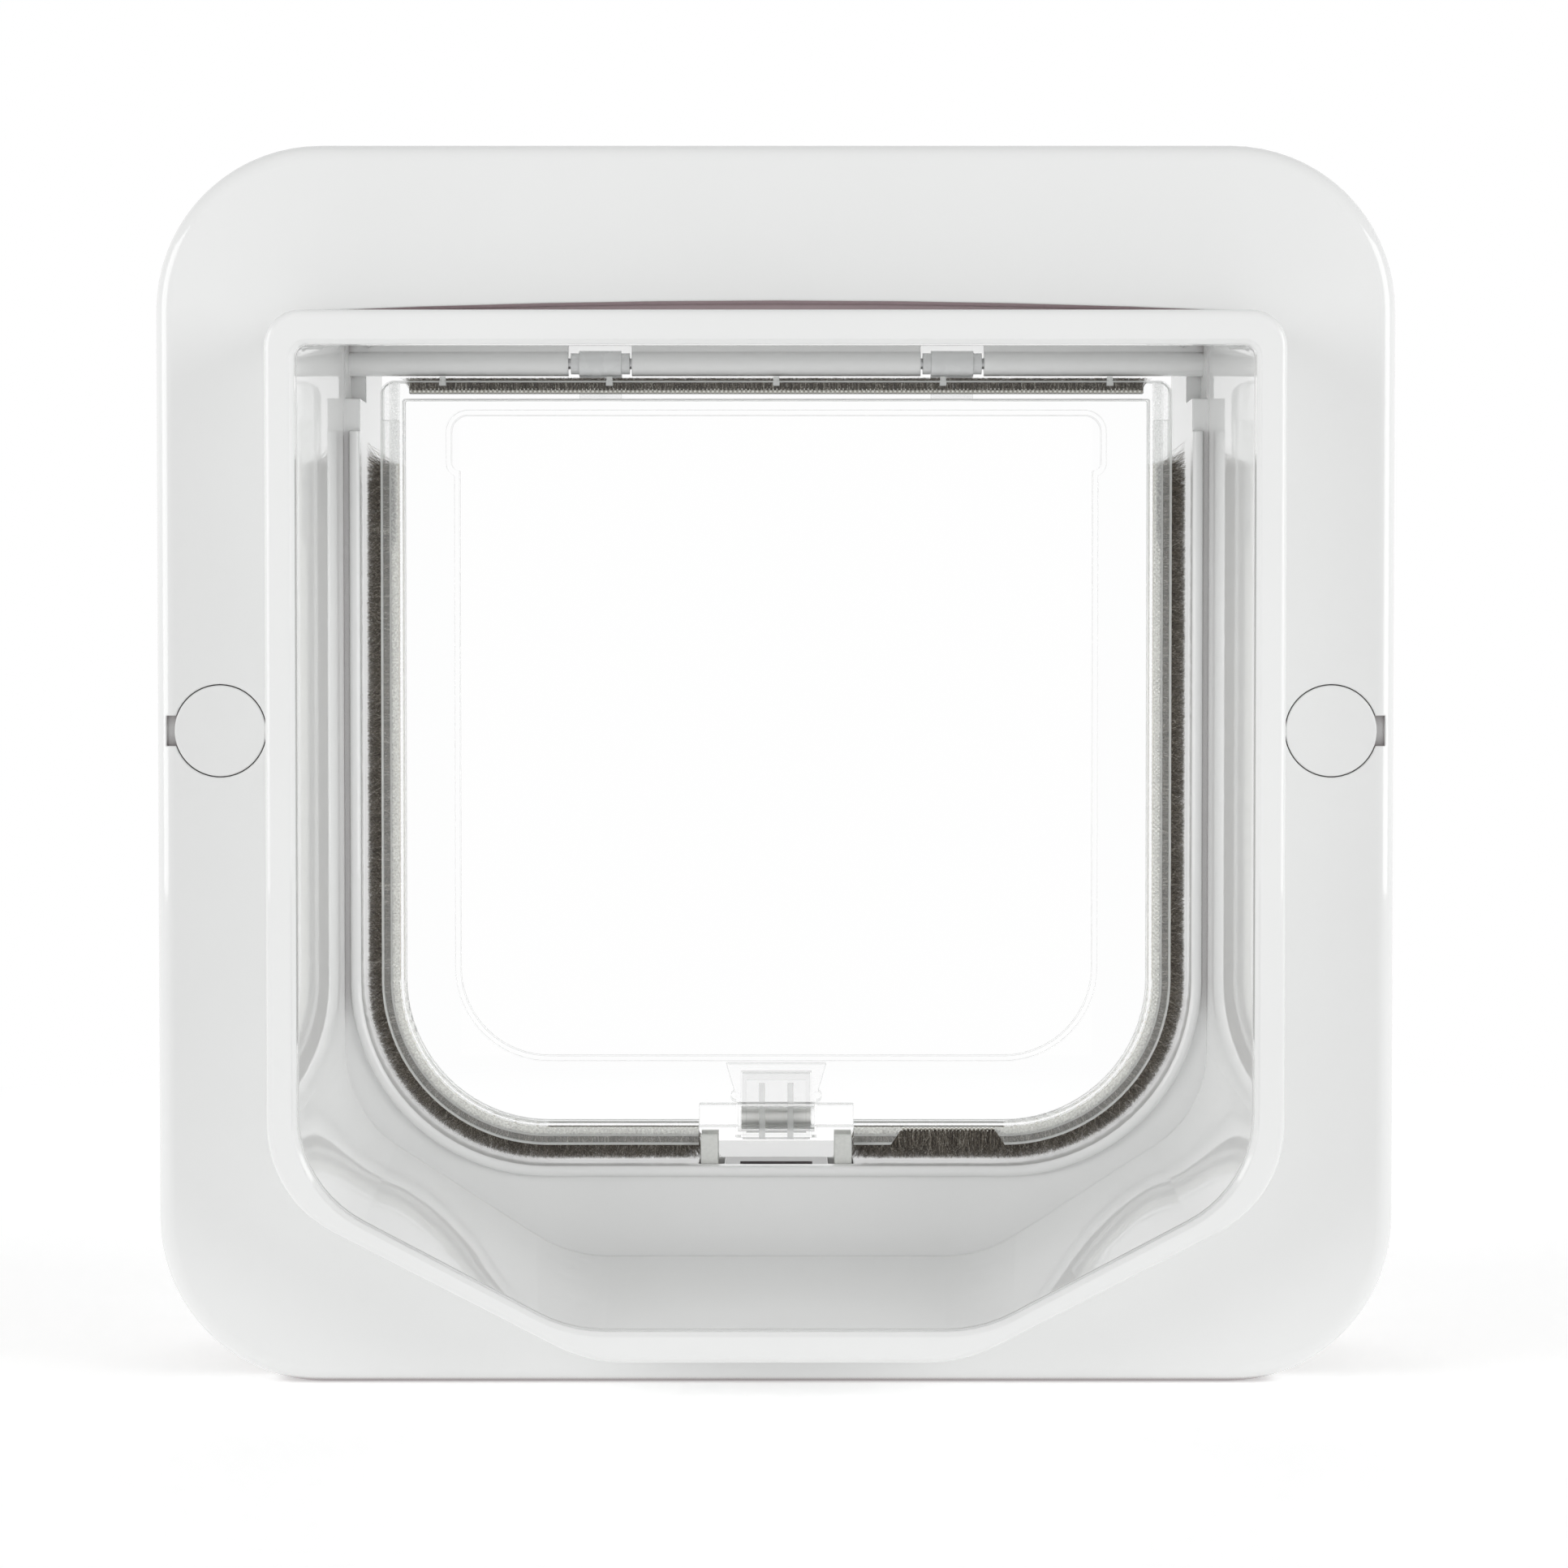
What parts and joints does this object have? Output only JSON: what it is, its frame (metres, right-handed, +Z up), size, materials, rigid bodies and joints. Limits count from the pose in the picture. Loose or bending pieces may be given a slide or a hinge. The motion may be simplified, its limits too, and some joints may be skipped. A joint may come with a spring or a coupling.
{
  "type": "cat flap",
  "caption": "Square white cat flap for a door, with a projecting collar, a clear swinging flap with pile seals, lock tabs in the sill and a control housing indoors.",
  "frame": {"origin": "on the door's outer face, at the middle of the outer frame", "axes": "+Z up, +X to the right seen from outdoors, +Y through the door from outdoors to indoors"},
  "size_m": [0.21, 0.1112, 0.21],
  "materials": {
    "white_shell": "glossy white moulding",
    "clear_plastic": "clear, polished",
    "milky_plastic": "natural, milky",
    "pile": "dense grey-brown pile",
    "lock_plastic": "satin",
    "steel": "plated",
    "copper_wire": "enamelled wire",
    "cell": "plain sleeve",
    "board": "lacquered board",
    "button_plastic": "satin grey"
  },
  "bodies": {
    "frame": {"outer_frame": "white_shell", "inner_frame": "white_shell", "screw_cap_left": "white_shell", "screw_cap_right": "white_shell", "fixing_screw_left": "steel", "fixing_screw_right": "steel", "hinge_pin_left": "steel", "hinge_pin_right": "steel", "battery_cover_left": "white_shell", "battery_cover_right": "white_shell", "battery_cell_left_front": "cell", "battery_cell_left_rear": "cell", "battery_cell_right_front": "cell", "battery_cell_right_rear": "cell", "sill_magnet": "steel", "keeper_plate": "clear_plastic", "lock_actuator_left": "steel", "lock_actuator_right": "steel", "lock_case": "white_shell", "reader_coil": "copper_wire", "control_housing": "white_shell", "circuit_board": "board", "status_light": "clear_plastic"},
    "flap": {"flap": "clear_plastic", "lock_guide": "clear_plastic", "hinge_knuckle_left": "milky_plastic", "hinge_knuckle_right": "milky_plastic", "edge_seal": "pile", "top_seal": "pile", "flap_magnet": "steel"},
    "manual_lock": {"manual_lock_slide": "clear_plastic"},
    "lock_tab_left": {"lock_tab_left": "lock_plastic"},
    "lock_tab_right": {"lock_tab_right": "lock_plastic"},
    "learn_button": {"learn_button": "button_plastic"}
  },
  "joints": [
    {"name": "flap_hinge", "type": "hinge", "parent": "frame", "child": "flap", "pos_m": [0, 0.033, 0.0717], "axis": [1, 0, 0], "range_deg": [-80, 80]},
    {"name": "manual_lock_slide", "type": "slide", "parent": "flap", "child": "manual_lock", "axis": [0, 0, -1], "range_m": [0, 0.006]},
    {"name": "lock_tab_left_rise", "type": "slide", "parent": "frame", "child": "lock_tab_left", "axis": [0, 0, 1], "range_m": [0, 0.005]},
    {"name": "lock_tab_right_rise", "type": "slide", "parent": "frame", "child": "lock_tab_right", "axis": [0, 0, 1], "range_m": [0, 0.005]},
    {"name": "learn_button_press", "type": "slide", "parent": "frame", "child": "learn_button", "axis": [0, -1, 0], "range_m": [0, 0.001], "stiffness_N_per_m": 400}
  ]
}
